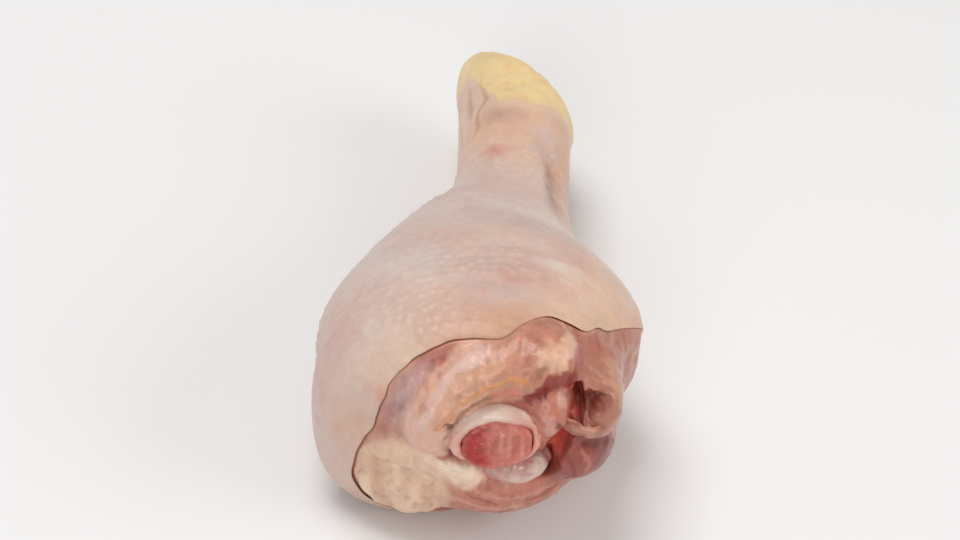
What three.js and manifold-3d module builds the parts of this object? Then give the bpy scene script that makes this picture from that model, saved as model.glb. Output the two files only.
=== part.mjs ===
// A raw chicken drumstick lying on its side, in millimetres.
// +Y runs along the bone from the cut knee end to the hock, +Z is up, and z = 0 is what it rests on.
// The leg is one pear shape, section by section along Y, closed by a dome at the knee and at the hock.
// The skin is a shell on that shape, cut open at both ends. The meat fills it and shows at the knee,
// where muscles, a fat pad and a tendon lie round the head of the bone.
import * as THREE from 'three';
import { mergeVertices } from 'three/addons/utils/BufferGeometryUtils.js';
import Module from 'manifold-3d';

const wasm = await Module();
wasm.setup();
const { clamp, lerp, degToRad, smoothstep } = THREE.MathUtils;

// ---- driving dimensions ----
const KNEE_Y = -60.5;
const HOCK_Y = 59.5;
const KNEE_DOME = 20.5; // depth of the rounded knee end
const HOCK_DOME = 11;
const DOME_POWER = 2.4; // 2 is a round dome, more is blunter
const SKIN_THICKNESS = 1.2;
const SKIN_EDGE_THICKNESS = 1.6;
const CLEARANCE = 0.3;
const SKIN_GAP = 0.5; // between the skin and the meat under it

// Sections of the leg, from the knee to the hock: centre and half-sizes.
const STATIONS = [
  { y: -40, x: -1.5, z: 22.2, halfWidth: 27.2, halfHeight: 22.7 }, // the knee's shoulder
  { y: -27, x: -0.2, z: 20.8, halfWidth: 29, halfHeight: 22.6 }, // belly
  { y: -8, x: -0.4, z: 19.2, halfWidth: 19.2, halfHeight: 19 }, // calf
  { y: 10, x: 1.3, z: 18.4, halfWidth: 11.8, halfHeight: 13.2 }, // shoulder of the shank
  { y: 26, x: 1.6, z: 17.4, halfWidth: 10.6, halfHeight: 11.4 }, // shank
  { y: 38, x: 1.2, z: 16.6, halfWidth: 10.9, halfHeight: 11 },
  { y: 52, x: 0.4, z: 15.4, halfWidth: 11.8, halfHeight: 10.8 }, // hock
  { y: 66, x: 0, z: 14.2, halfWidth: 12, halfHeight: 9.8 },
];
const ROUNDNESS = 2.1; // exponent of the section: 2 is an ellipse, more is fuller
const BELLY_ROLL = degToRad(13);
const HOCK_SLANT = 0.75; // how much longer the hock is on its left than on its right
const FLAT_BLEND = 0.8; // how softly the belly turns into the flat that it rests on

// ---- small helpers ----
const bell = (x, span) => Math.exp(-((x / span) ** 2));

function smoothMin(a, b, blend) {
  const h = Math.max(blend - Math.abs(a - b), 0) / blend;
  return Math.min(a, b) - (h * h * blend) / 4;
}

const smoothMax = (a, b, blend) => -smoothMin(-a, -b, blend);

// The difference of two angles, between -PI and PI.
const turn = (a, b) => Math.atan2(Math.sin(a - b), Math.cos(a - b));

// ---- the leg's shape ----

// The bone comes out at the dome's pole.
const POLE = { x: 4.6, z: 26.8 };
const KNEE_DOME_Y = KNEE_Y + KNEE_DOME;
const HOCK_DOME_Y = HOCK_Y - HOCK_DOME;

// Slope of one station value by y, level at both ends of the leg.
function slope(i, key) {
  if (i === 0 || i === STATIONS.length - 1) return 0;
  const [a, b, c] = STATIONS.slice(i - 1, i + 2);
  const before = (b[key] - a[key]) / (b.y - a.y);
  const after = (c[key] - b[key]) / (c.y - b.y);
  return (before * (c.y - b.y) + after * (b.y - a.y)) / (c.y - a.y);
}

// A smooth curve through one value of the stations.
function stationValue(y, key) {
  const last = STATIONS.length - 2;
  const found = STATIONS.findIndex((s) => s.y > y) - 1;
  const i = found < 0 ? (y < STATIONS[0].y ? 0 : last) : found;
  const [a, b] = [STATIONS[i], STATIONS[i + 1]];
  const step = b.y - a.y;
  const t = clamp((y - a.y) / step, 0, 1);
  return a[key] * (1 + 2 * t) * (1 - t) ** 2 + b[key] * (3 - 2 * t) * t ** 2 +
    step * (slope(i, key) * t * (1 - t) ** 2 - slope(i + 1, key) * (1 - t) * t ** 2);
}

// The profile runs from the knee's pole at 0, over the dome, along the leg and over the hock to 1.
const KNEE_SHARE = 0.44;
const HOCK_SHARE = 0.14;
const capOf = (quarter, f) => f((quarter * Math.PI) / 2) ** (2 / DOME_POWER);

function profile(q) {
  const knee = clamp(q / KNEE_SHARE, 0, 1);
  const hock = clamp((1 - q) / HOCK_SHARE, 0, 1);
  const along = clamp((q - KNEE_SHARE) / (1 - KNEE_SHARE - HOCK_SHARE), 0, 1);
  const y = lerp(KNEE_DOME_Y, HOCK_DOME_Y, along) -
    KNEE_DOME * capOf(knee, Math.cos) + HOCK_DOME * capOf(hock, Math.cos);
  return { y, cap: capOf(knee, Math.sin) * capOf(hock, Math.sin) };
}

// Where the profile reaches y.
function profileAt(y) {
  const quarter = (depth) => Math.acos(clamp(depth, 0, 1) ** (DOME_POWER / 2)) / (Math.PI / 2);
  if (y < KNEE_DOME_Y) return KNEE_SHARE * quarter((KNEE_DOME_Y - y) / KNEE_DOME);
  if (y > HOCK_DOME_Y) return 1 - HOCK_SHARE * quarter((y - HOCK_DOME_Y) / HOCK_DOME);
  const along = (y - KNEE_DOME_Y) / (HOCK_DOME_Y - KNEE_DOME_Y);
  return lerp(KNEE_SHARE, 1 - HOCK_SHARE, along);
}

// Shears the hock so that its left side reaches further.
const slanted = (x, y, z) => new THREE.Vector3(x, y - HOCK_SLANT * x * smoothstep(y, 30, 60), z);

// The leg's outer face. Angles run from +X towards +Z, round the section's centre.
function legPoint(q, angle) {
  const { y, cap } = profile(q);
  const pole = clamp((KNEE_DOME_Y - y) / KNEE_DOME, 0, 1) ** 2;
  const x = lerp(stationValue(y, 'x'), POLE.x, pole);
  const z = lerp(stationValue(y, 'z'), POLE.z, pole);
  const halfWidth = Math.max(stationValue(y, 'halfWidth') * cap, 1e-6);
  const halfHeight = Math.max(stationValue(y, 'halfHeight') * cap, 1e-6);
  const a = angle - BELLY_ROLL * clamp((30 - y) / 50, 0, 1);
  const round = (Math.abs(Math.cos(a) / halfWidth) ** ROUNDNESS +
    Math.abs(Math.sin(a) / halfHeight) ** ROUNDNESS) ** (-1 / ROUNDNESS);
  // The calf swells on the left, the hock has a groove on top, and the knee end sags at its lower left.
  const calf = 1.4 * bell(y + 6, 16) * bell(turn(angle, Math.PI), 0.9);
  const groove = 0.9 * bell(y - 44, 6) * bell(turn(angle, degToRad(105)), 0.4);
  const sag = 6 * bell(y + 53, 9) * bell(turn(angle, degToRad(222)), 0.55);
  const down = -Math.sin(angle);
  const free = round + (calf - groove + sag) * cap;
  const r = down > 0.02 ? smoothMin(free, z / down, FLAT_BLEND) : free;
  return slanted(x + r * Math.cos(angle), y, z + r * Math.sin(angle));
}

// A point at a height over the leg's outer face, moved onwards along the face towards the hock.
function offsetPoint(q, angle, height, onwards = 0) {
  const point = legPoint(q, angle);
  if (q <= 0 || q >= 1) return point.setY(point.y + (q <= 0 ? -height : height));
  const at = clamp(q, 0.01, 0.99);
  const E = 1e-3;
  const around = legPoint(at, angle + E).sub(legPoint(at, angle - E));
  const along = legPoint(at + E, angle).sub(legPoint(at - E, angle));
  const normal = along.clone().cross(around).normalize();
  return point.addScaledVector(normal, height).addScaledVector(along.normalize(), onwards);
}

// ---- the skin ----

// Where the skin is cut off at the knee: it wraps round the left and the underside of the dome, steps
// back over the top and is torn back along the right flank.
function skinEdgeY(angle) {
  const right = turn(angle, degToRad(-10));
  const top = 3.6 * smoothstep(-Math.abs(right), degToRad(-175), degToRad(-100));
  const shoulder = 8 * smoothstep(-Math.abs(right), degToRad(-96), degToRad(-66));
  const flank = 21 * smoothstep(-Math.abs(right), degToRad(-57), degToRad(-12));
  const ripple = 0.35 * Math.sin(3 * angle + 1) + 0.3 * Math.sin(7 * angle + 2);
  return KNEE_Y + 4.3 + top + shoulder + flank + ripple;
}

const skinEdge = (angle) => profileAt(skinEdgeY(angle));
const OPENING_Y = HOCK_Y - 3.6;
const HOCK_OPENING = profileAt(OPENING_Y);

// How far the point of the outer face at q is from the skin's edge, above zero beyond the edge.
function beyondEdge(q, angle) {
  const here = legPoint(q, angle);
  const near = [-0.12, -0.06, 0, 0.06, 0.12].map((step) => angle + step);
  const distance = Math.min(...near.map((a) => here.distanceTo(legPoint(skinEdge(a), a))));
  return q < skinEdge(angle) ? distance : -distance;
}

const skinThickness = (q, angle) =>
  lerp(SKIN_THICKNESS, SKIN_EDGE_THICKNESS, bell(beyondEdge(q, angle), 9));

// The skin as a ring: around is the turn about Y, and loop runs from the cut edge along the outside to
// the hock's opening, and back along the inside. Both ends are rounded.
const LIP = 1.1;
const LIP_CURL = 0.35;

function skinPoint(around, loop, outerShare, clearance = 0) {
  const angle = -around * 2 * Math.PI;
  const outside = loop < outerShare;
  const along = outside ? loop / outerShare : (1 - loop) / (1 - outerShare);
  const edge = skinEdge(angle);
  const share = 1 - (1 - along ** 1.5) ** 1.3;
  const q = profileAt(lerp(skinEdgeY(angle), OPENING_Y, share));
  const here = legPoint(q, angle);
  const toEdge = here.distanceTo(legPoint(edge, angle));
  const toEnd = here.distanceTo(legPoint(HOCK_OPENING, angle));
  const round = Math.sqrt(1 - (1 - clamp(Math.min(toEdge, toEnd) / LIP, 0, 1)) ** 2);
  const thickness = skinThickness(q, angle);
  const half = (thickness / 2 + clearance) * round;
  const curl = LIP_CURL * bell(toEdge, 2.5) * smoothstep(here.z, 0, 6);
  const shift = clearance * (bell(toEnd, 1) - bell(toEdge, 1));
  return offsetPoint(q, angle, curl - thickness / 2 + (outside ? half : -half), shift);
}

// ---- the meat at the knee ----

// Muscles that show on the knee's face: centre, half-sizes, turn in the face's plane, and height over
// the leg's outer face.
const lobe = (x, z, halfWidth, halfHeight, degrees, height) =>
  ({ x, z, halfWidth, halfHeight, tilt: degToRad(degrees), height });
const MUSCLES = [
  lobe(-10, 31.5, 7.5, 10, -20, -0.3), // lateral
  lobe(12, 42.5, 10, 5.5, -10, 0.5), // upper
  lobe(13.2, 33.5, 3.6, 6, 10, 1.5), // short, beside the bone
  lobe(20.5, 22.5, 6.5, 8, 15, 1.3), // deep
  lobe(5, 10.5, 13, 7.5, 0, 1.2), // lower
];
const RIDGE = { points: [[-7.5, 27], [-5.5, 33], [-0.5, 38], [6, 41], [13, 42]], halfWidth: 4.4, height: 2.3 };
const FAT_KNOB = lobe(9, 41.5, 3, 3, 0, 2.8);
const CREVICE = { points: [[17, 36], [16.6, 30], [15.4, 24], [13.6, 18]], halfWidth: 2.2, depth: 3.6 };
const HOLLOW = { ...lobe(20, 32.5, 4, 3.6, 0), depth: 4 };
const FACE_LEVEL = -1.5; // of the face between the muscles
const SUNKEN = 0.9; // how far the bare meat of the flank lies under the skin's outer face

// Square of how far (x, z) is from a lobe's centre, 1 at its rim.
function lobeReach(x, z, { x: cx, z: cz, halfWidth, halfHeight, tilt }) {
  const [c, s] = [Math.cos(tilt), Math.sin(tilt)];
  const u = ((x - cx) * c + (z - cz) * s) / halfWidth;
  const v = ((z - cz) * c - (x - cx) * s) / halfHeight;
  return u * u + v * v;
}

function lineReach(x, z, { points, halfWidth }) {
  const p = new THREE.Vector3(x, 0, z);
  const corners = points.map(([px, pz]) => new THREE.Vector3(px, 0, pz));
  let nearest = Infinity;
  for (let i = 1; i < corners.length; i++) {
    const segment = new THREE.Line3(corners[i - 1], corners[i]);
    const closest = segment.closestPointToPoint(p, true, new THREE.Vector3());
    nearest = Math.min(nearest, closest.distanceTo(p));
  }
  return (nearest / halfWidth) ** 2;
}

// Height of the meat over the leg's outer face where the skin is off it.
function faceRelief({ x, y, z }) {
  let height = FACE_LEVEL;
  for (const muscle of [...MUSCLES, FAT_KNOB])
    height = smoothMax(height, muscle.height - 2.4 * lobeReach(x, z, muscle), 1.2);
  height = smoothMax(height, RIDGE.height - 2.6 * lineReach(x, z, RIDGE), 1);
  height -= CREVICE.depth * Math.max(1 - lineReach(x, z, CREVICE), 0) ** 1.5;
  height -= HOLLOW.depth * Math.max(1 - lobeReach(x, z, HOLLOW), 0) ** 1.5;
  return lerp(height, -SUNKEN, smoothstep(y, -52, -43));
}

function meatPoint(around, q, clearance = 0) {
  const angle = -around * 2 * Math.PI;
  const bare = smoothstep(beyondEdge(q, angle), 0.7, 3.2);
  const covered = -skinThickness(q, angle) - SKIN_GAP;
  const recess = 3 * smoothstep(q, HOCK_OPENING - 0.04, 1);
  return offsetPoint(q, angle, lerp(covered, faceRelief(legPoint(q, angle)), bare) - recess + clearance);
}

// ---- the bone and its marrow ----

const HEAD = { x: 4.6, z: 27.6, halfWidth: 8.5, halfHeight: 7.2, roll: degToRad(20) };
const SHAFT_RADIUS = 4;
const HOCK_END = { x: 0, z: 13.8, halfWidth: 7.7, halfHeight: 5.8 };
const MARROW = { halfWidth: 6.2, halfHeight: 4.7, shaftRadius: 2 };
const FACE_LEAN = Math.tan(degToRad(8)); // the cut face looks a little upwards
const BONE_FACE_Y = KNEE_Y - 1.2;
const BONE_END_Y = HOCK_Y;

// Centre line of the bone and how far each section belongs to the head or to the hock's condyles.
function boneSection(y) {
  const head = 1 - smoothstep(y, -56, -38);
  const hock = smoothstep(y, 44, 58);
  const share = smoothstep(y, -60, 60);
  return { head, hock, x: lerp(HEAD.x, HOCK_END.x, share), z: lerp(HEAD.z, HOCK_END.z, share) };
}

// A rod along the bone's centre line with rounded ends; half gives its half-width and half-height.
function rodPoint(around, down, start, end, rim, half) {
  const angle = around * 2 * Math.PI;
  const CAP = 0.22;
  const cap = Math.min(clamp(down / CAP, 0, 1), clamp((1 - down) / CAP, 0, 1));
  const along = clamp((down - CAP) / (1 - 2 * CAP), 0, 1);
  const rounded = 1 - Math.sqrt(1 - cap ** 6);
  const level = lerp(start, end, lerp(along, smoothstep(along, 0, 1), 0.5));
  const b = boneSection(level);
  const { width, height } = half(level, b);
  const [u, v] = [width * cap * Math.cos(angle), height * cap * Math.sin(angle)];
  const roll = HEAD.roll * b.head;
  const x = u * Math.cos(roll) - v * Math.sin(roll);
  const z = u * Math.sin(roll) + v * Math.cos(roll);
  const y = level + (down < 0.5 ? rim * rounded : -rim * rounded) + FACE_LEAN * z * b.head;
  return slanted(b.x + x, y, b.z + z);
}

function bonePoint(around, down, clearance = 0) {
  return rodPoint(around, down, BONE_FACE_Y - clearance, BONE_END_Y + clearance, 1.6, (y, b) => {
    const wide = b.head > b.hock ? HEAD : HOCK_END;
    const waist = Math.max(b.head, b.hock);
    const notch = 1 - 0.24 * b.hock * bell(Math.cos(around * 2 * Math.PI), 0.5);
    return {
      width: lerp(SHAFT_RADIUS, wide.halfWidth, waist) + clearance,
      height: lerp(SHAFT_RADIUS, wide.halfHeight, waist) * notch + clearance,
    };
  });
}

function marrowPoint(around, down, clearance = 0) {
  return rodPoint(around, down, BONE_FACE_Y - 0.2 - 3 * clearance, 30 + clearance, 0.9, (y) => {
    const mouth = 1 - smoothstep(y, -57, -42);
    return {
      width: lerp(MARROW.shaftRadius, MARROW.halfWidth, mouth) + clearance,
      height: lerp(MARROW.shaftRadius, MARROW.halfHeight, mouth) + clearance,
    };
  });
}

// ---- rounded lumps ----
const LOWER_CONDYLE = { at: [7.9, -56, 20.2], half: [6.4, 4.8, 3.8], tilt: degToRad(14) };
const FAT_PAD = { at: [-9.5, -53, 14.2], half: [10.2, 6.4, 10.6], tilt: degToRad(-4) };

// ---- the tendon that bridges the hollow, an oval strap along a curve ----
const TENDON_LINE = new THREE.CatmullRomCurve3([
  new THREE.Vector3(13.8, -56, 31),
  new THREE.Vector3(16.8, -57.6, 30.4),
  new THREE.Vector3(20.2, -56.2, 29.2),
  new THREE.Vector3(24, -50.4, 27),
]);
const TENDON_HALF = { height: 1.5, depth: 0.85 };

function tendonPoint(around, down, clearance = 0) {
  const angle = around * 2 * Math.PI;
  const centre = TENDON_LINE.getPoint(down);
  const along = TENDON_LINE.getTangent(down);
  const up = new THREE.Vector3(0, 0, 1).projectOnPlane(along).normalize();
  const out = up.clone().cross(along).normalize();
  const end = (1 - Math.abs(2 * down - 1) ** 6) ** 0.5;
  return centre
    .addScaledVector(up, (TENDON_HALF.height + clearance) * end * Math.sin(angle))
    .addScaledVector(out, (TENDON_HALF.depth + clearance) * end * Math.cos(angle))
    .addScaledVector(along, (2 * down - 1) * clearance);
}

// ---- geometry ----

// Moves each vertex of a sphere's or a torus's grid to place(around, along).
function mapGrid(geometry, place) {
  const position = geometry.getAttribute('position');
  const uv = geometry.getAttribute('uv');
  for (let i = 0; i < position.count; i++) {
    const p = place(uv.getX(i) % 1, 1 - uv.getY(i));
    position.setXYZ(i, p.x, p.y, p.z);
  }
  return geometry;
}

const closedGrid = (around, along, place) =>
  mapGrid(new THREE.SphereGeometry(1, around, along), place);
const ringGrid = (around, loop, place) =>
  mapGrid(new THREE.TorusGeometry(2, 1, loop, around), place);

function solidOf(geometry) {
  geometry.deleteAttribute('normal');
  geometry.deleteAttribute('uv');
  const merged = mergeVertices(geometry, 1e-4);
  const corners = Array.from(merged.index.array);
  const kept = [];
  for (let i = 0; i < corners.length; i += 3) {
    const [a, b, c] = corners.slice(i, i + 3);
    if (a !== b && b !== c && c !== a) kept.push(a, b, c);
  }
  const solid = (order) => new wasm.Manifold(new wasm.Mesh({
    numProp: 3,
    vertProperties: merged.attributes.position.array,
    triVerts: new Uint32Array(order),
  }));
  const made = solid(kept);
  return made.volume() > 0 ? made : solid(kept.reverse());
}

// The largest body of a solid, without the scraps that a cut leaves loose.
const largest = (solid) =>
  solid.decompose().reduce((best, body) => (body.volume() > best.volume() ? body : best));

function lump({ at, half, tilt }, clearance = 0) {
  const geometry = new THREE.SphereGeometry(1, 20, 12);
  geometry.scale(half[0] + clearance, half[1] + clearance, half[2] + clearance);
  geometry.rotateY(-tilt);
  geometry.translate(...at);
  return solidOf(geometry);
}

const SKIN_AROUND = 52;
const SKIN_OUTER_ROWS = 22;
const SKIN_LOOP = 42;

const skinSolid = (clearance = 0) => solidOf(ringGrid(SKIN_AROUND, SKIN_LOOP,
  (around, loop) => skinPoint(around, loop, SKIN_OUTER_ROWS / SKIN_LOOP, clearance)));
const meatSolid = (clearance = 0) => solidOf(closedGrid(SKIN_AROUND, 42,
  (around, down) => meatPoint(around, down, clearance)));
const boneSolid = (clearance = 0) => solidOf(closedGrid(24, 22,
  (around, down) => bonePoint(around, down, clearance))).add(lump(LOWER_CONDYLE, clearance));
const marrowSolid = (clearance = 0) => solidOf(closedGrid(18, 14,
  (around, down) => marrowPoint(around, down, clearance)));
const tendonSolid = (clearance = 0) => solidOf(closedGrid(10, 12,
  (around, down) => tendonPoint(around, down, clearance)));

function leg() {
  const rooms = {
    bone: boneSolid(CLEARANCE),
    skin: skinSolid(CLEARANCE),
    fatPad: lump(FAT_PAD, CLEARANCE),
    tendon: tendonSolid(CLEARANCE),
  };
  return {
    skin: skinSolid(),
    meat: largest(meatSolid().subtract(rooms.bone).subtract(rooms.fatPad).subtract(rooms.tendon)),
    bone: largest(boneSolid().subtract(marrowSolid(CLEARANCE))),
    marrow: marrowSolid(),
    fat_pad: largest(lump(FAT_PAD).subtract(rooms.skin).subtract(rooms.bone)),
    tendon: largest(tendonSolid().subtract(rooms.skin).subtract(rooms.bone)),
  };
}

const FINISH = {
  skin: { color: 0xe3cbbd, roughness: 0.45 },
  meat: { color: 0xc98d84, roughness: 0.35 },
  bone: { color: 0xe6dbd2, roughness: 0.3 },
  marrow: { color: 0xb8423c, roughness: 0.35 },
  fat_pad: { color: 0xe8cfa6, roughness: 0.4 },
  tendon: { color: 0xe0b7a3, roughness: 0.35 },
};

function geometryOf(solid) {
  const { numProp, vertProperties, triVerts } = solid.getMesh();
  const geometry = new THREE.BufferGeometry();
  const positions = new THREE.InterleavedBuffer(vertProperties, numProp);
  geometry.setAttribute('position', new THREE.InterleavedBufferAttribute(positions, 3, 0));
  geometry.setIndex(new THREE.BufferAttribute(triVerts, 1));
  return geometry;
}

const drumstick = new THREE.Group();
for (const [name, solid] of Object.entries(leg())) {
  const material = new THREE.MeshStandardMaterial({ metalness: 0, ...FINISH[name] });
  const mesh = new THREE.Mesh(geometryOf(solid), material);
  mesh.name = name;
  drumstick.add(mesh);
}

// The leg is centred over the origin.
const middle = new THREE.Box3().setFromObject(drumstick).getCenter(new THREE.Vector3());
for (const mesh of drumstick.children) {
  mesh.geometry.translate(-middle.x, -middle.y, 0);
  mesh.geometry.computeVertexNormals();
}

export default drumstick;
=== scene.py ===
# A raw chicken drumstick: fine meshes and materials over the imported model.
# The shape functions work in millimetres, as the CAD model's do, and meshes are made in metres.
import math

import bpy
import numpy as np
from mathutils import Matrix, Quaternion, Vector, kdtree


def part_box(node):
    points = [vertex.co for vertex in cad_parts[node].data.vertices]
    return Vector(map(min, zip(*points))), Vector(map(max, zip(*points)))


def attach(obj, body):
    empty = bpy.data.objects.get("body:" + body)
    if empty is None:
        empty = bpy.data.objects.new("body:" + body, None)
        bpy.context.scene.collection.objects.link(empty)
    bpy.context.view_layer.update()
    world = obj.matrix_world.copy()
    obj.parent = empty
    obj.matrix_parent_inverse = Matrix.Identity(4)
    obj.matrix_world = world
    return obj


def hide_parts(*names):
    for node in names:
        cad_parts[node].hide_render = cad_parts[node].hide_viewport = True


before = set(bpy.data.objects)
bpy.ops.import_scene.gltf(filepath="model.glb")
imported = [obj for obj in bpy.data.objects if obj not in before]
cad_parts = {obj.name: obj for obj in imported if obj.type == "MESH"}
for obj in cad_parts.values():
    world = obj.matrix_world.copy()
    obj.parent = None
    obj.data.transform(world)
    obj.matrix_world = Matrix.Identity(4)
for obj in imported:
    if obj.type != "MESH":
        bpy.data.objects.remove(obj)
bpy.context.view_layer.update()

MM = 0.001
FULL_TURN = 2 * math.pi
CENTRE = np.array([-0.602, 0.836, 0.0])  # the leg's centre in its modelling frame, mm

# ---- driving dimensions, in mm, as in the CAD model ----
KNEE_Y = -60.5
HOCK_Y = 59.5
KNEE_DOME = 20.5
HOCK_DOME = 11.0
DOME_POWER = 2.4
SKIN_THICKNESS = 1.2
SKIN_GAP = 0.3
ROUNDNESS = 2.1
BELLY_ROLL = math.radians(13)
BELLY_ROLL_END = 30
BELLY_ROLL_SPAN = 50
HOCK_SLANT = 0.75
HOCK_SLANT_SPAN = (30, 60)
FLAT_BLEND = 0.8
EDGE_DEPTH = 4.3
EDGE_SEARCH = (-0.12, -0.06, 0.0, 0.06, 0.12)  # angles, in radians
NOTCH_DEPTH = 1.6
NOTCH_ANGLE = math.radians(37)
TORN_SIDE = math.radians(-10)
# y, centre x, centre z, half width, half height
STATIONS = np.array([
    (-40, -1.5, 22.2, 27.2, 22.7),
    (-27, -0.2, 20.8, 29.0, 22.6),
    (-8, -0.4, 19.2, 19.2, 19.0),
    (10, 1.3, 18.4, 11.8, 13.2),
    (26, 1.6, 17.4, 10.6, 11.4),
    (38, 1.2, 16.6, 10.9, 11.0),
    (52, 0.4, 15.4, 11.8, 10.8),
    (66, 0.0, 14.2, 12.0, 9.8),
], float)
POLE = (4.6, 26.8)
KNEE_DOME_Y = KNEE_Y + KNEE_DOME
HOCK_DOME_Y = HOCK_Y - HOCK_DOME
KNEE_SHARE = 0.44
HOCK_SHARE = 0.14
OPENING_Y = HOCK_Y - 3.6
# height, then place and span along y in mm, then place in degrees and span in radians round the leg
SWELLS = [
    (1.4, -6, 16, 180, 0.9),  # the calf
    (-0.9, 44, 6, 105, 0.4),  # the groove over the hock
    (6.0, -53, 9, 222, 0.55),  # the sag at the knee's lower left
]
# how far the skin is torn back, and between how many degrees from the torn side it gives way
TEARS = [(3.6, 175, 100), (8, 96, 66), (21, 57, 12)]
# height, number of waves and shift of the ripples round the skin's two edges
KNEE_RIPPLES = [(0.35, 3, 1), (0.12, 7, 2), (0.06, 17, 1), (0.03, 31, 0)]
HOCK_RIPPLES = [(0.3, 2, 1), (0.25, 5, 0), (0.12, 13, 2)]


# ---- small helpers ----
def clamp(x, low=0.0, high=1.0):
    return np.clip(x, low, high)


def lerp(a, b, t):
    return a + (b - a) * t


def smoothstep(x, low, high):
    t = clamp((x - low) / (high - low))
    return t * t * (3 - 2 * t)


def bell(x, span):
    return np.exp(-((x / span) ** 2))


def smooth_min(a, b, blend):
    h = np.maximum(blend - np.abs(a - b), 0) / blend
    return np.minimum(a, b) - h * h * blend / 4


def smooth_max(a, b, blend):
    return -smooth_min(-a, -b, blend)


def turn(a, b):
    """The angle from b to a, between minus and plus half a turn."""
    return np.arctan2(np.sin(a - b), np.cos(a - b))


def towards(angle, degrees, span):
    """1 on the side that faces that way, falling off over a span in radians."""
    return bell(turn(angle, math.radians(degrees)), span)


def angles(count):
    return np.linspace(0, FULL_TURN, count, endpoint=False)


def ripples(angle, waves):
    return sum(height * np.sin(count * angle + shift) for height, count, shift in waves)


def lattice(i, seed):
    h = i[..., 0] * 374761393 + i[..., 1] * 668265263 + i[..., 2] * 2147483629 + seed * 1274126177
    h = (h ^ (h >> 13)) * 1274126177
    return ((h ^ (h >> 16)) & 0xFFFFFF) / 0x7FFFFF - 1.0


def noise(p, size, seed=0):
    """Smooth noise between -1 and 1, with lumps of about that size in mm."""
    q = np.asarray(p) / size + 100.0
    i = np.floor(q).astype(np.int64)
    u = q - i
    u = u * u * (3 - 2 * u)
    total = 0.0
    for corner in range(8):
        d = np.array([corner & 1, corner >> 1 & 1, corner >> 2 & 1])
        w = np.prod(np.where(d == 1, u, 1 - u), axis=-1)
        total = total + w * lattice(i + d, seed)
    return total


def cloud(p, size, seed=0, octaves=3):
    """Noise with finer noise on it."""
    total = 0.0
    for k in range(octaves):
        total = total + noise(p, size / 2 ** k, seed + k) / 2 ** k
    return total / 1.6


def bumps(p, parts):
    """Noises added up, each with its height, size and seed."""
    return sum(height * noise(p, size, seed) for height, size, seed in parts)


def srgb(r, g, b):
    """A colour given as it looks on screen, 0 to 255, as linear light."""
    c = np.array([r, g, b], float) / 255
    return np.where(c <= 0.04045, c / 12.92, ((c + 0.055) / 1.055) ** 2.4)


def painted(tint, layers):
    """Lays each colour over what is below it, by its share at each point."""
    for colour, share in layers:
        tint = tint + (colour - tint) * clamp(share)[..., None]
    return tint


# ---- the leg's shape ----
def station_value(y, column):
    ys, v = STATIONS[:, 0], STATIONS[:, column]
    step = np.diff(ys)
    chord = np.diff(v) / step
    slope = np.zeros(len(ys))
    slope[1:-1] = (chord[:-1] * step[1:] + chord[1:] * step[:-1]) / (step[1:] + step[:-1])
    i = np.clip(np.searchsorted(ys, y, side="right") - 1, 0, len(ys) - 2)
    t = clamp((y - ys[i]) / step[i])
    return (v[i] * (1 + 2 * t) * (1 - t) ** 2 + v[i + 1] * (3 - 2 * t) * t ** 2
            + step[i] * (slope[i] * t * (1 - t) ** 2 - slope[i + 1] * (1 - t) * t ** 2))


def cap_of(quarter, f):
    return np.abs(f(quarter * math.pi / 2)) ** (2 / DOME_POWER)


def profile(q):
    """Where along y the share q of the leg's length is, and how far its rounded ends close it there."""
    knee = clamp(q / KNEE_SHARE)
    hock = clamp((1 - q) / HOCK_SHARE)
    along = clamp((q - KNEE_SHARE) / (1 - KNEE_SHARE - HOCK_SHARE))
    y = (lerp(KNEE_DOME_Y, HOCK_DOME_Y, along)
         - KNEE_DOME * cap_of(knee, np.cos) + HOCK_DOME * cap_of(hock, np.cos))
    return y, cap_of(knee, np.sin) * cap_of(hock, np.sin)


def profile_at(y):
    """The share q of the leg's length that is at y."""
    def quarter(depth):
        return np.arccos(clamp(depth) ** (DOME_POWER / 2)) / (math.pi / 2)
    along = clamp((y - KNEE_DOME_Y) / (HOCK_DOME_Y - KNEE_DOME_Y))
    middle = lerp(KNEE_SHARE, 1 - HOCK_SHARE, along)
    knee = KNEE_SHARE * quarter((KNEE_DOME_Y - y) / KNEE_DOME)
    hock = 1 - HOCK_SHARE * quarter((y - HOCK_DOME_Y) / HOCK_DOME)
    return np.where(y < KNEE_DOME_Y, knee, np.where(y > HOCK_DOME_Y, hock, middle))


def slanted(x, y, z):
    return np.stack(np.broadcast_arrays(x, y - HOCK_SLANT * x * smoothstep(y, *HOCK_SLANT_SPAN), z), -1)


def leg_point(q, angle):
    """A point of the leg's outer face, by its share of the length and its angle from the right."""
    y, cap = profile(q)
    pole = clamp((KNEE_DOME_Y - y) / KNEE_DOME) ** 2
    x = lerp(station_value(y, 1), POLE[0], pole)
    z = lerp(station_value(y, 2), POLE[1], pole)
    half_width = np.maximum(station_value(y, 3) * cap, 1e-6)
    half_height = np.maximum(station_value(y, 4) * cap, 1e-6)
    a = angle - BELLY_ROLL * clamp((BELLY_ROLL_END - y) / BELLY_ROLL_SPAN)
    full = (np.abs(np.cos(a) / half_width) ** ROUNDNESS
            + np.abs(np.sin(a) / half_height) ** ROUNDNESS) ** (-1 / ROUNDNESS)
    swell = sum(height * bell(y - at, span) * towards(angle, degrees, width)
                for height, at, span, degrees, width in SWELLS)
    free = full + swell * cap
    down = np.maximum(-np.sin(angle), 0.02)
    r = np.where(-np.sin(angle) > 0.02, smooth_min(free, z / down, FLAT_BLEND), free)
    return slanted(x + r * np.cos(angle), y, z + r * np.sin(angle))


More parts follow.
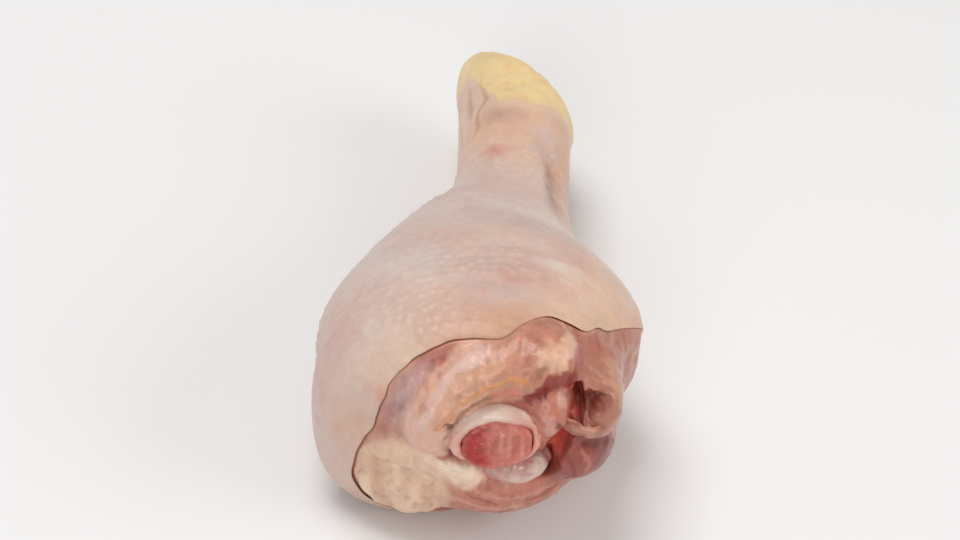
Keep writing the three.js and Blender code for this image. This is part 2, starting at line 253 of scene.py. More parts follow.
def leg_frame(q, angle):
    """Point and outward normal of the leg's outer face."""
    step = 1e-3
    at = clamp(q, 0.004, 0.996)
    around = leg_point(at, angle + step) - leg_point(at, angle - step)
    along = leg_point(at + step, angle) - leg_point(at - step, angle)
    normal = np.cross(along, around)
    normal /= np.linalg.norm(normal, axis=-1, keepdims=True)
    pole = ((q <= 0) | (q >= 1))[..., None]
    ends = np.stack([q * 0, np.where(q <= 0, -1.0, 1.0), q * 0], -1)
    return leg_point(q, angle), np.where(pole, ends, normal)


def skin_edge_y(angle):
    away = np.abs(turn(angle, TORN_SIDE))
    torn = sum(depth * smoothstep(away, math.radians(start), math.radians(end)) for depth, start, end in TEARS)
    notch = NOTCH_DEPTH * bell(turn(angle, NOTCH_ANGLE), 0.07)
    return KNEE_Y + EDGE_DEPTH + torn + ripples(angle, KNEE_RIPPLES) + notch


def opening_y(angle):
    return OPENING_Y + ripples(angle, HOCK_RIPPLES)


def beyond_edge(q, angle):
    """Distance from the skin's edge, above zero where the skin is off."""
    here = leg_point(q, angle)
    distance = 1e9
    for step in EDGE_SEARCH:
        a = angle + step
        edge = leg_point(profile_at(skin_edge_y(a)), a)
        distance = np.minimum(distance, np.linalg.norm(here - edge, axis=-1))
    return np.where(q < profile_at(skin_edge_y(angle)), distance, -distance)


# ---- mesh making ----
def clip_to(points, node):
    """Keeps points, in mm, inside the CAD box of that node."""
    low = np.array(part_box(node)[0]) / MM
    high = np.array(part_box(node)[1]) / MM
    return np.clip(points - CENTRE, low, high) + CENTRE


def make_object(name, points, faces, material, tint):
    """A smooth mesh of points in mm, with a colour at each point."""
    mesh = bpy.data.meshes.new(name)
    mesh.from_pydata(((points - CENTRE) * MM).tolist(), [], faces)
    mesh.update()
    mesh.polygons.foreach_set("use_smooth", [True] * len(mesh.polygons))
    layer = mesh.attributes.new("tint", "FLOAT_COLOR", "POINT")
    rgba = np.concatenate([clamp(tint), np.ones((len(tint), 1))], axis=1)
    layer.data.foreach_set("color", rgba.astype(np.float32).ravel())
    mesh.materials.append(material)
    piece = bpy.data.objects.new(name, mesh)
    bpy.context.scene.collection.objects.link(piece)
    return piece


def grid_faces(rows, columns, loop=False):
    """Quads of a grid that closes round its columns, and along its rows if loop."""
    faces = []
    for i in range(rows if loop else rows - 1):
        a, b = i * columns, (i + 1) % rows * columns
        for j in range(columns):
            k = (j + 1) % columns
            faces.append((a + j, a + k, b + k, b + j))
    return faces


def closed_faces(rows, columns):
    """Faces of a grid with one point at each end, numbered after the grid's."""
    faces = grid_faces(rows, columns)
    first, last = rows * columns, rows * columns + 1
    for j in range(columns):
        k = (j + 1) % columns
        faces.append((first, k, j))
        faces.append((last, (rows - 1) * columns + j, (rows - 1) * columns + k))
    return faces


# ---- materials ----
GLOW_RADIUS = (1.0, 0.40, 0.25)  # how far red, green and blue light spreads in flesh, as shares of its depth
GLOW_DEPTH = 1.6
WET_ROUGHNESS = 0.16
FLESH_IOR = 1.42


def node_of(material, kind, **values):
    made = material.node_tree.nodes.new(kind)
    for key, value in values.items():
        made.inputs[key.replace("_", " ")].default_value = value
    return made


def flesh(name, grain, depth, mottle, rough, subsurface, coat, cells=None, fibre=None):
    """Wet tissue. Its tint comes with the mesh. grain is the size of its fine bumps in mm and depth their
    height in mm, mottle is how much the colour varies, rough the least and most roughness, cells the size
    and depth in mm of a pebbled pattern, and fibre how the grain is turned and stretched."""
    material = bpy.data.materials.new(name)
    material.use_nodes = True
    nodes, links = material.node_tree.nodes, material.node_tree.links
    shader = nodes["Principled BSDF"]
    place = nodes.new("ShaderNodeTexCoord").outputs["Object"]
    turned = place
    if fibre:
        stretch = node_of(material, "ShaderNodeMapping", Scale=fibre[1])
        stretch.inputs["Rotation"].default_value = [math.radians(a) for a in fibre[0]]
        links.new(place, stretch.inputs["Vector"])
        turned = stretch.outputs["Vector"]

    def spread(factor, low, high, bottom, top):
        made = node_of(material, "ShaderNodeMapRange", From_Min=low, From_Max=high, To_Min=bottom, To_Max=top)
        links.new(factor, made.inputs["Value"])
        return made.outputs["Result"]

    def noise_at(size, detail, where):
        made = node_of(material, "ShaderNodeTexNoise", Scale=1 / (size * MM), Detail=detail, Roughness=0.62)
        links.new(where, made.inputs["Vector"])
        return made.outputs["Fac"]

    tint = nodes.new("ShaderNodeAttribute")
    tint.attribute_name = "tint"
    shade = spread(noise_at(5 * grain, 7, turned), 0.28, 0.72, 1 - mottle, 1 + mottle)
    mix = nodes.new("ShaderNodeVectorMath")
    mix.operation = "SCALE"
    links.new(tint.outputs["Color"], mix.inputs[0])
    links.new(shade, mix.inputs["Scale"])
    links.new(mix.outputs["Vector"], shader.inputs["Base Color"])
    links.new(spread(noise_at(6, 5, place), 0.3, 0.7, rough[0], rough[1]), shader.inputs["Roughness"])

    fine = node_of(material, "ShaderNodeBump", Strength=1.0, Distance=depth * MM)
    links.new(noise_at(grain, 5, turned), fine.inputs["Height"])
    normal = fine.outputs["Normal"]
    if cells:
        pebble = node_of(material, "ShaderNodeTexVoronoi", Scale=1 / (cells[0] * MM))
        pebble.feature = "SMOOTH_F1"
        pebble.inputs["Smoothness"].default_value = 0.6
        links.new(place, pebble.inputs["Vector"])
        coarse = node_of(material, "ShaderNodeBump", Strength=1.0, Distance=cells[1] * MM)
        coarse.invert = True
        links.new(pebble.outputs["Distance"], coarse.inputs["Height"])
        links.new(normal, coarse.inputs["Normal"])
        normal = coarse.outputs["Normal"]
    links.new(normal, shader.inputs["Normal"])

    shader.inputs["Subsurface Weight"].default_value = subsurface
    shader.inputs["Subsurface Radius"].default_value = GLOW_RADIUS
    shader.inputs["Subsurface Scale"].default_value = GLOW_DEPTH * MM
    shader.inputs["Coat Weight"].default_value = coat
    shader.inputs["Coat Roughness"].default_value = WET_ROUGHNESS
    shader.inputs["IOR"].default_value = FLESH_IOR
    return material


# ---- the skin ----
SKIN_COLUMNS = 330
SKIN_OUTER_ROWS = 275
SKIN_INNER_ROWS = 20
LIP = 0.8
LIP_CURL = 0.05
LIP_THICKNESS = 0.5
FEATHERED = (-60, -50, 22, 34)  # y where the follicles start, are all there, start to end and are gone
FOLLICLE_RADIUS = 0.62
FOLLICLE_HEIGHT = 0.25
FOLLICLE_STEP = 2.2
FOLLICLE_GAP = 2.5
SKIN_SUNK = 0.12
WRINKLE_STEP = 2.7
WRINKLE_HEIGHT = 0.16
RIDGE_ON_SHANK = 0.5
GUTTER_DEPTH = 0.55
GUTTER_ANGLE = math.radians(51)
CREASE_DEPTH = 0.32
CREASE_WIDTH = 0.05
SKIN_BUMPS = [(0.34, 17, 11), (0.18, 8, 12), (0.06, 3, 13)]
WRINKLE_WARP = [(2.4, 8, 21), (0.8, 3.5, 22)]
CUFF_WARP = [(1.1, 5, 41), (0.5, 1.6, 42)]
# the hock's creases: degrees round the leg, y of both ends, and shift of their wave
CREASES = [(133, 24, 50, 0.0), (146, 30, 47, 2.0), (158, 26, 40, 4.0)]

PALE = srgb(213, 196, 188)
ROSE = srgb(206, 164, 152)
CREAM = srgb(222, 184, 152)
EDGE_CREAM = srgb(208, 160, 128)
YELLOW = srgb(236, 210, 150)
# painted shade for the gutter down the shank and for the hock's creases
GROOVE_SHADE = srgb(172, 122, 96)
PEACH = srgb(225, 179, 146)
# painted shade for the shank's right side
SIDE_SHADE = srgb(196, 146, 112)

# spots on the skin: place, size, how it is squeezed along each axis, colour and how much of it shows
SKIN_SPOTS = [
    ((-2.0, 18.5, 29.7), 2.4, (1, 1, 0.7), (208, 128, 118), 0.6),
    ((-15.6, -55.7, 31.3), 1.3, (1, 1, 0.7), (206, 116, 84), 0.6),
    ((-13.0, 12.0, 20.0), 3.0, (1, 1, 0.7), (206, 140, 130), 0.6),
    ((7.5, -37.0, 44.5), 4.5, (0.45, 1.3, 1), (190, 138, 122), 0.6),
    # a pale bluish patch on the left shoulder: painted highlight
    ((-16.4, -31.5, 39.6), 8.0, (0.8, 1, 1), (216, 204, 198), 0.5),
    # a darker patch low on the left side: painted shade
    ((-25.5, -43.0, 30.0), 7.0, (1, 1, 0.8), (196, 150, 142), 0.4),
    ((2.5, -16.0, 41.0), 5.5, (0.5, 1.2, 1), (192, 168, 164), 0.45),
    ((-9.0, -22.0, 42.0), 5.0, (0.5, 1.4, 1), (206, 176, 158), 0.4),
    ((-0.2, -50.2, 44.4), 6.0, (0.6, 1, 1), (188, 138, 106), 0.55),
    ((14.6, -40.7, 42.1), 6.0, (1, 1, 1), (228, 190, 164), 0.5),
    ((20.3, -34.0, 38.8), 6.0, (1, 1, 1), (226, 188, 152), 0.5),
    ((-14.8, -53.1, 37.2), 6.0, (1, 1, 1), (228, 200, 176), 0.6),
]


def follicles():
    """Where the feathers sat: staggered rings, closer together by the knee, seeded."""
    random = np.random.default_rng(7)
    points = []
    y = KNEE_Y + 2.0
    ring = 0
    while y < FEATHERED[-1]:
        q = profile_at(np.array(y))
        girth = np.linalg.norm(np.diff(leg_point(q, np.linspace(0, FULL_TURN, 60)), axis=0), axis=-1).sum()
        count = int(round(girth / FOLLICLE_GAP))
        angle = (np.arange(count) + 0.5 * (ring % 2)) / count * FULL_TURN
        angle = angle + random.normal(0, 0.24, count) * FULL_TURN / count
        rows = y + random.normal(0, 0.42, count) + 0.9 * np.sin(angle * 2 + ring * 0.05)
        points.append(leg_point(profile_at(rows), angle))
        y += FOLLICLE_STEP * (0.45 if y < -55 else 0.75 if y < -48 else 1.0)
        ring += 1
    return np.concatenate(points)


def nearest_distance(points, targets):
    tree = kdtree.KDTree(len(targets))
    for i, t in enumerate(targets):
        tree.insert(t, i)
    tree.balance()
    return np.array([tree.find(p)[2] for p in points])


def skin_relief(p, y, angle):
    """Height of the skin's fine form over the leg's outer face, and its follicles' share."""
    start, full, thinning, end = FEATHERED
    distance = nearest_distance(p.reshape(-1, 3).tolist(), follicles().tolist()).reshape(y.shape)
    follicle = bell(distance, FOLLICLE_RADIUS) * smoothstep(y, start, full) * (1 - smoothstep(y, thinning, end))
    follicle = follicle * clamp(0.6 + 0.8 * noise(p, 11, 3), 0.1, 1.2)
    neck = bell(y - 4, 15) * clamp(0.55 + 0.6 * noise(p, 12, 23))
    neck = neck * clamp(0.35 + 0.9 * noise(p * [0.5, 1, 1], 6, 27))
    wrinkles = neck * np.sin((y + bumps(p, WRINKLE_WARP)) * FULL_TURN / WRINKLE_STEP)
    grain = smoothstep(y, 10, 18) * noise(p * [1, 0.35, 1], 2.0, 24)
    ridge = towards(angle, 26, 0.3) * smoothstep(y, -6, 6) * (1 - smoothstep(y, 34, 46))
    height = FOLLICLE_HEIGHT * follicle - SKIN_SUNK + bumps(p, SKIN_BUMPS)
    height = height + WRINKLE_HEIGHT * wrinkles + 0.10 * grain + RIDGE_ON_SHANK * ridge
    return height - GUTTER_DEPTH * side_gutter(p, y, angle), follicle


def side_gutter(p, y, angle):
    """The groove down the shank's right front, above zero in it."""
    line = GUTTER_ANGLE + 0.012 * (y - 8) * smoothstep(y, 8, 24) + 0.04 * noise(p, 4, 25)
    return bell(turn(angle, line), 0.14) * smoothstep(y, -9, 5) * (1 - smoothstep(y, 14, 28))


def hock_creases(p, y, angle):
    """Long creases on the hock's left and behind it, above zero in a crease."""
    total = 0.0
    for degrees, start, end, shift in CREASES:
        line = math.radians(degrees) + 0.05 * np.sin(y / 3.5 + shift) + 0.10 * noise(p, 5, 26)
        reach = smoothstep(y, start, start + 9) * (1 - smoothstep(y, end - 9, end))
        total = total + reach * bell(turn(angle, line), CREASE_WIDTH)
    return clamp(total)


def hock_cuff(p, angle):
    """Share of the yellow, scaly skin over the top of the hock, and of its pale rim."""
    x, y = p[..., 0], p[..., 1]
    start = 36.2 + 13 * smoothstep(-x, 1.5, 9.5) + 2 * smoothstep(x, 3, 8) + bumps(p, CUFF_WARP)
    from_top = np.abs(turn(angle, math.radians(90)))
    start = start + 9 * smoothstep(from_top, math.radians(75), math.radians(130))
    return smoothstep(y - start, 0, 1.6), bell(y - start + 0.3, 1.2)


def skin_tint(p, y, angle, edge, follicle, crease):
    """Colour of the skin, layer over layer, where edge is the distance from its cut edge. Some layers are painted
    shade: down the shank's right side, in its groove and creases, in a dent and low on the left; one is a painted
    highlight on the left shoulder.
    """
    x = p[..., 0]
    streaks = bell(y + 31, 8) * towards(angle, 66, 0.5) * clamp(0.5 + 0.9 * noise(p * [0.3, 1, 1], 2.4, 32))
    by_edge = lerp(0.45, 1.0, smoothstep(x, -16, -4)) * bell(edge, 6.5) * (0.75 + 0.5 * cloud(p, 6, 33))
    # where painted shade falls down the shank's right side
    side = smoothstep(turn(angle, math.radians(50)), 0.08, -0.15)
    side = side * smoothstep(turn(angle, math.radians(-35)), -0.4, 0.4)
    side = side * smoothstep(y, -10, 2) * (1 - 0.5 * smoothstep(y, 24, 34))
    layers = [
        (ROSE, 0.30 + 0.55 * cloud(p, 12, 31)),
        (CREAM, 0.32 * smoothstep(cloud(p, 11, 35), 0.0, 0.6) * smoothstep(p[..., 1], 0, -35)),
        (ROSE * 0.9, 0.95 * streaks),
        (EDGE_CREAM, 0.9 * by_edge),
        (PEACH, 0.75 * smoothstep(y, 0, 20) * (0.75 + 0.6 * cloud(p, 9, 34))),
        (CREAM, 0.5 * towards(angle, 28, 0.5) * bell(y + 18, 18)),
        (SIDE_SHADE, 0.55 * side * (0.85 + 0.4 * cloud(p, 5, 36))),
        # painted shade in the gutter
        (GROOVE_SHADE * 0.8, 0.7 * side_gutter(p, y, angle)),
    ]
    for place, size, stretch, colour, share in SKIN_SPOTS:
        distance = np.linalg.norm((p - place) * stretch, axis=-1) + 0.25 * size * noise(p, 0.8 * size, 40)
        layers.append((srgb(*colour), share * bell(distance, size) * (1 + 0.4 * noise(p, 1.2, 37))))
    veins = bell(noise(p * [1, 0.5, 1], 7.5, 38), 0.045) * clamp(0.3 + noise(p, 20, 39))
    lilac = smoothstep(cloud(p, 7, 44), 0.1, 0.6) * smoothstep(edge, 4, 12)
    across = smoothstep(noise(p * [0.28, 1, 0.6] + [0, 0.12, 0] * p[..., :1], 3.4, 45), 0.0, 0.7)
    across = across * smoothstep(edge, 3, 10) * smoothstep(x, -18, 2) * smoothstep(y, 2, -12)
    # painted shade of a dent on the shank, which the mesh does not have
    dent_shade = bell(np.linalg.norm((p - [-2.2, 31.8, 27.6]) * [0.7, 1, 1], axis=-1), 3.2)
    return painted(PALE, layers + [
        (srgb(186, 138, 138), 0.10 * veins),
        (ROSE * 0.94, 0.26 * smoothstep(noise(p, 2.6, 43), 0.1, 0.8)),
        (srgb(198, 180, 182), 0.30 * lilac),
        (srgb(190, 166, 156), 0.34 * across),
        (srgb(180, 142, 124), 0.6 * dent_shade),
        (PALE * 1.07, 0.33 * follicle),
        # painted shade in the hock's creases
        (GROOVE_SHADE, 0.55 * crease),
    ])


def gathered(t, start, end):
    """Shares from 0 to 1 that come closer together at both ends."""
    return 1 - (1 - t ** start) ** end


def make_skin():
    angle = angles(SKIN_COLUMNS)[None, :]
    outer = gathered(np.arange(SKIN_OUTER_ROWS) / (SKIN_OUTER_ROWS - 1), 1.35, 1.15)
    inner = gathered(np.linspace(1, 0, SKIN_INNER_ROWS + 2)[1:-1], 1.6, 1.25)
    share = np.concatenate([outer, inner])[:, None]
    outside = (np.arange(len(share)) < SKIN_OUTER_ROWS)[:, None]
    q = profile_at(lerp(skin_edge_y(angle), opening_y(angle), share))
    a = np.broadcast_to(angle, q.shape)
    point, normal = leg_frame(q, a)
    y, z = profile(q)[0], point[..., 2]
    to_edge = np.linalg.norm(point - leg_point(profile_at(skin_edge_y(angle)), angle), axis=-1)
    to_end = np.linalg.norm(point - leg_point(profile_at(opening_y(angle)), angle), axis=-1)
    near = np.minimum(to_edge, to_end)
    round_end = np.sqrt(1 - (1 - clamp(near / LIP)) ** 2)
    thick = lerp(SKIN_THICKNESS, LIP_THICKNESS + 0.12 * noise(point, 4, 52), bell(to_edge, 3))
    curl = LIP_CURL * (1 + 0.9 * noise(point, 6, 51)) * bell(to_edge, 2.0) * smoothstep(z, 0, 6)
    height, follicle = skin_relief(point, y, a)
    crease = hock_creases(point, y, a)
    cuff, rim = hock_cuff(point, a)
    scales = noise(point * [1, 0.8, 1], 1.7, 61)
    height = height - CREASE_DEPTH * crease + cuff * (0.25 + 0.16 * scales) + 0.16 * rim
    lift = np.where(outside, height * smoothstep(near, 0.2, 2.5) * smoothstep(z, 0.2, 2.5), 0)
    offset = curl - thick / 2 + np.where(outside, 1, -1) * thick / 2 * round_end + lift
    place = point + normal * offset[..., None]
    tint = painted(skin_tint(point, y, a, to_edge, follicle, crease), [
        (YELLOW, 0.9 * cuff * (0.85 + 0.35 * cloud(point, 5, 62))),
        (srgb(226, 176, 112), 0.35 * cuff * clamp(-scales)),
        (srgb(224, 200, 176), 0.4 * rim),
    ])
    material = flesh("skin", grain=0.35, depth=0.05, mottle=0.05, rough=(0.36, 0.52), subsurface=0.3, coat=0.18,
                     cells=(0.9, 0.07))
    piece = make_object("skin_fine", clip_to(place.reshape(-1, 3), "skin"),
                        grid_faces(len(share), SKIN_COLUMNS, loop=True), material, tint.reshape(-1, 3))
    settle(piece, "skin")


# ---- the meat ----
def lobe(x, z, half_width, half_height, degrees, height, colour):
    return dict(x=x, z=z, w=half_width, h=half_height, tilt=math.radians(degrees), height=height,
                colour=srgb(*colour))


MUSCLES = [
    lobe(-10, 31.5, 7.5, 10, -20, -0.3, (196, 158, 154)),
    lobe(12, 42.5, 10, 5.5, -10, 0.5, (180, 130, 120)),
    lobe(13.2, 33.5, 3.6, 6, 10, 1.1, (192, 122, 102)),
    lobe(20.0, 22.5, 6.3, 8, 15, 1.2, (150, 72, 62)),
    lobe(5, 10.5, 13, 7.5, 0, 1.2, (190, 122, 102)),
    lobe(9, 41.5, 3, 3, 0, 2.8, (188, 130, 110)),
    lobe(-13, 15, 9, 13, 0, -0.2, (208, 168, 142)),
    lobe(23.2, 30.4, 3.0, 6.0, 8, 0.6, (172, 108, 88)),
]
RIDGE = [(-7.5, 27), (-5.5, 33), (-0.5, 38), (6, 41), (13, 42)]
RIDGE_HALF = 4.4
RIDGE_HEIGHT = 2.3
RIDGE_COLOUR = srgb(192, 134, 110)
RIDGE_FOOT_COLOUR = srgb(220, 174, 152)
CREVICE = [(17.7, 36), (17.1, 31), (15.5, 28.4), (14.3, 25.4), (13.4, 19)]
CREVICE_HALF = 2.0
CREVICE_DEPTH = 3.8
# the hollow's colour is dark red meat deepened with painted shade
HOLLOW = lobe(19.2, 33.0, 3.3, 3.1, -25, 0, (120, 42, 28))
HOLLOW_DEPTH = 3.8
FACE_LEVEL = -1.5
FACE_COLOUR = srgb(166, 84, 68)
SUNKEN = 0.9
MUSCLE_FALL = 2.4
RIDGE_FALL = 2.6
MUSCLE_BLEND = 0.7
# between which y the knee's relief, flank, pits and strokes give way to the plain, covered meat
FACE_END = (-52, -43)
FLANK_START = (-52, -45)
PITS_END = (-50, -44)
STROKES_END = (-48, -43)
MEAT_COLUMNS = 400
MEAT_FACE_ROWS = 190
MEAT_HIDDEN_ROWS = 26
# ovals on the face: middle, half width and half height
COLLAR = (4.6, 27.6, 8.9, 7.6)  # the meat round the bone's head
CONDYLE_DIP = (8.4, 20.6, 7.5, 4.6)
FLANK_SWELL = (24.5, 34, 4.5, 5.5)
FLANK_SWELL_HEIGHT = 1.5
# strokes on the face: a line of (x, z), its half width, its height, its colour and how much of it shows
STROKES = [
    ([(-7.6, 22), (-7, 26), (-6.4, 31)], 2.2, 0.1, (220, 174, 152), 0.8),  # tan foot of the ridge
    ([(-10, 29), (-9.4, 25.6)], 2.4, 0.1, (214, 174, 162), 0.6),
    ([(-11, 19.6), (-6, 18.8), (-0.4, 18.2)], 3.1, 0.6, (236, 208, 184), 0.94),  # fat beside the pad
    ([(-3.4, 19.6), (-0.6, 18.4)], 1.5, 0.2, (248, 226, 204), 0.6),
    ([(-7.4, 30), (-5.6, 35.2), (-2.6, 39.8), (1.6, 42.4)], 1.0, 0.12, (222, 190, 180), 0.65),  # membrane
    ([(-6, 31), (-3.6, 36.4), (0.2, 39.4), (4.4, 41.4)], 0.7, 0.1, (216, 164, 132), 0.6),
    ([(-5.6, 26), (-4.9, 30), (-1.9, 35.4), (1.8, 38.1), (6.3, 39.6), (8.5, 39.3)],
     0.45, 0.3, (206, 140, 84), 0.65),  # orange fat line
    ([(-4, 27), (-3.4, 30.2), (-0.2, 34.7), (3.2, 36.8)], 0.45, -0.35, (140, 86, 60), 0.6),
    ([(3.4, 37), (6.4, 37.8), (8.4, 37.2)], 0.8, 0.1, (200, 118, 98), 0.8),
    ([(10.2, 41.6), (13.2, 41.2), (14.8, 40.2)], 1.2, 0.35, (218, 176, 148), 0.8),  # cream knob
    ([(12.4, 42.4), (15.2, 41.2)], 0.5, 0.2, (218, 178, 154), 0.4),
    ([(9.6, 40.4), (10.4, 40.3)], 0.5, -0.2, (150, 104, 70), 0.6),
    ([(9.3, 36.8), (11.2, 37.9)], 1.25, 0.2, (128, 18, 10), 0.92),  # blood
    ([(12.0, 38.5), (14.2, 38.9), (17.1, 38.6)], 1.15, -0.25, (132, 24, 14), 0.9),
    ([(15, 40.3), (17.4, 40), (19.6, 38.4)], 0.8, 0.1, (168, 62, 46), 0.65),
    ([(18.2, 41.5), (19.4, 38.9), (20.3, 36.4)], 1.2, -0.2, (192, 112, 92), 0.55),
    ([(20.4, 41), (22.6, 36.5), (24.2, 31)], 3.2, 0.0, (168, 116, 94), 0.68),  # the flank and its streaks
    ([(21.4, 37.6), (23.2, 33.6), (24.2, 30.4)], 0.6, 0.15, (206, 160, 134), 0.5),
    ([(23.2, 37), (24.8, 32.6)], 0.45, 0.1, (198, 150, 126), 0.5),
    # near black in the groove beside the condyle: painted shade over dark red meat
    ([(9.7, 25.1), (11.7, 23.9), (13.4, 22.4)], 0.8, -1.2, (88, 10, 6), 0.95),  # beside the condyle
    ([(13.2, 32.6), (14.2, 31.2)], 0.7, -0.6, (128, 48, 36), 0.8),
    ([(14.2, 36.4), (15.4, 35.4)], 0.8, 0.2, (214, 166, 150), 0.6),
    ([(17.7, 36), (17.2, 31), (15.6, 28.4), (14.4, 25.4), (13.5, 19.6)], 1.0, -0.7, (222, 104, 92), 0.85),
    # dark red under the tendon: painted shade over the meat
    ([(19.0, 27.0), (22.4, 26.2)], 0.8, -0.6, (108, 38, 26), 0.85),  # under the tendon
    ([(16.6, 25.5), (17.6, 22), (17.2, 18)], 0.35, -0.25, (122, 44, 34), 0.6),
    ([(18.8, 26), (19.7, 23), (19, 18.5)], 0.35, 0.15, (192, 126, 108), 0.5),
    # dark brown down the deep muscle's right: painted shade
    ([(22.6, 25.0), (23.8, 22.4), (22.6, 18)], 1.1, -0.2, (118, 60, 46), 0.7),
    ([(-4.0, 30.2), (-3.8, 29.2)], 0.4, -0.5, (116, 66, 50), 0.75),  # beside the ring
    ([(-3.9, 23.4), (-3.3, 22.3)], 0.45, -0.5, (124, 74, 56), 0.75),
    ([(-5.0, 28.4), (-4.6, 24.2)], 1.3, 0.1, (222, 180, 164), 0.8),
    ([(12.6, 33.5), (13.2, 29.4)], 0.9, 0.1, (210, 156, 142), 0.7),
    ([(21.4, 25.6), (21.8, 22)], 1.4, -0.1, (118, 54, 40), 0.6),
    ([(21.4, 28.8), (22.8, 28.3), (24.8, 27.8)], 1.05, 0.3, (178, 122, 100), 0.75),  # the tendon's root
    ([(-2, 12.4), (4, 10.6), (10, 11.2)], 0.6, 0.15, (216, 164, 142), 0.5),  # lines on the lower muscle
    ([(2, 15.0), (8, 13.6), (14, 15.2)], 0.45, 0.1, (210, 154, 134), 0.45),
    ([(-1, 8.2), (6, 6.6), (12, 7.6)], 0.4, -0.2, (146, 72, 60), 0.5),
    ([(0, 14.0), (5, 12.2)], 0.35, -0.2, (150, 74, 62), 0.5),
    ([(11, 12.8), (16, 14.4)], 0.5, -0.25, (140, 62, 52), 0.5),
]


def lobe_reach(p, part):
    """The square of how far a point is from the middle of a tilted oval, 1 on its rim."""
    c, s = math.cos(part["tilt"]), math.sin(part["tilt"])
    x, z = p[..., 0] - part["x"], p[..., 2] - part["z"]
    return ((x * c + z * s) / part["w"]) ** 2 + ((z * c - x * s) / part["h"]) ** 2


def oval_reach(p, oval):
    """How far a point is from the middle of an upright oval, 1 on its rim."""
    x, z, half_width, half_height = oval
    return np.hypot((p[..., 0] - x) / half_width, (p[..., 2] - z) / half_height)


def line_distance(p, points):
    nearest = 1e9
    for (ax, az), (bx, bz) in zip(points, points[1:]):
        dx, dz = bx - ax, bz - az
        t = clamp(((p[..., 0] - ax) * dx + (p[..., 2] - az) * dz) / (dx * dx + dz * dz))
        nearest = np.minimum(nearest, np.hypot(p[..., 0] - ax - t * dx, p[..., 2] - az - t * dz))
    return nearest


def muscle_height(p, muscle):
    return muscle["height"] - MUSCLE_FALL * lobe_reach(p, muscle)


def ridge_height(p):
    return RIDGE_HEIGHT - RIDGE_FALL * (line_distance(p, RIDGE) / RIDGE_HALF) ** 2


def face_relief(p):
    """Height of the meat over the leg's outer face where the skin is off it, as in the CAD model."""
    height = np.full(p.shape[:-1], FACE_LEVEL)
    for muscle in MUSCLES:
        height = smooth_max(height, muscle_height(p, muscle), MUSCLE_BLEND)
    height = smooth_max(height, ridge_height(p), MUSCLE_BLEND)
    return lerp(height, -SUNKEN, smoothstep(p[..., 1], *FACE_END))


def face_pits(p):
    """Depth of the crevice and the hollow, which go straight in from the knee."""
    crevice = np.maximum(1 - (line_distance(p, CREVICE) / CREVICE_HALF) ** 2, 0) ** 1.5
    hollow = np.maximum(1 - lobe_reach(p, HOLLOW), 0) ** 1.5
    lumps = 1 + bumps(p, [(0.30, 1.9, 206), (0.15, 0.8, 207)])
    return (CREVICE_DEPTH * crevice + HOLLOW_DEPTH * hollow) * lumps * (1 - smoothstep(p[..., 1], *PITS_END))


def wavy(p):
    """The same point, strayed a little, so that strokes and borders don't run straight."""
    stray_x = bumps(p, [(0.5, 3.0, 201), (0.3, 1.0, 203)])
    stray_z = bumps(p, [(0.5, 3.0, 202), (0.3, 1.0, 204)])
    return p + np.stack([stray_x, np.zeros_like(stray_x), stray_z], -1)


def face_fibres(w):
    return noise(w * [1.0, 0.5, 0.28], 0.8, 76)


def flank_fibres(w):
    return noise(w * [1.0, 0.35, 0.3], 0.9, 72)


def fine_grain(p):
    return noise(p, 0.5, 78)


def meat_tint(p, w, flank):
    """Colour of the bare meat, muscle by muscle, with its fat, blood and membrane, and painted shade in its
    hollow and some grooves. w is the strayed point.
    """
    heights = [muscle_height(w, m) for m in MUSCLES] + [ridge_height(w), np.full(flank.shape, FACE_LEVEL)]
    colours = [m["colour"] for m in MUSCLES] + [RIDGE_COLOUR, FACE_COLOUR]
    weights = np.exp(clamp(np.stack(heights, -1) / 0.3, -40, 20))
    weights /= weights.sum(-1, keepdims=True)
    on_face = 1 - flank
    face = painted(weights @ np.stack(colours), [
        (RIDGE_FOOT_COLOUR, 0.85 * weights[..., -2] * smoothstep(p[..., 0], 5, -4)),
        (srgb(176, 96, 78), 0.55 * clamp(cloud(p, 4.5, 73)) * on_face),
        (srgb(218, 172, 150), 0.22 * smoothstep(noise(p * [1, 1, 0.5], 2.2, 74), 0.25, 0.8)),
        (srgb(150, 66, 50), 0.4 * smoothstep(noise(p, 2.0, 77), 0.2, 0.8) * on_face),
    ])
    face = face * (1 + 0.12 * face_fibres(w) + 0.08 * fine_grain(p))[..., None]
    side = painted(srgb(172, 102, 80), [
        (srgb(202, 152, 124), (0.5 + 0.5 * flank_fibres(w)) ** 2.5),
        (srgb(160, 74, 56), 0.8 * clamp(noise(p, 5, 75))),
    ])
    frayed = bumps(p, [(0.35, 0.9, 79), (0.2, 0.45, 80)])
    shown = 1 - 0.9 * smoothstep(p[..., 1], *STROKES_END)
    layers = []
    for line, half, _, colour, share in STROKES:
        reach = smoothstep(line_distance(w, line) / half + frayed * min(1, 1.4 / half), 1.3, 0.6)
        layers.append((srgb(*colour), share * reach * shown))
    # painted shade deepening the hollow, over dark red meat
    hollow = np.maximum(1 - lobe_reach(w, HOLLOW), 0)
    layers.append((HOLLOW["colour"], 0.9 * hollow ** 0.5 * on_face))
    return painted(lerp(face, side, flank[..., None]), layers)


def pad_front(p):
    """Where the fat pad's outer face is along Y, in front of or behind each point."""
    (x, y, z), (half_x, half_y, half_z) = FAT_PAD["at"], FAT_PAD["half"]
    reach = lobe_reach(p, dict(x=x, z=z, w=half_x, h=half_z, tilt=FAT_PAD["tilt"]))
    beyond = 60 * np.maximum(reach - 1, 0)
    return y - half_y * np.sqrt(np.maximum(1 - reach, 0)) + beyond


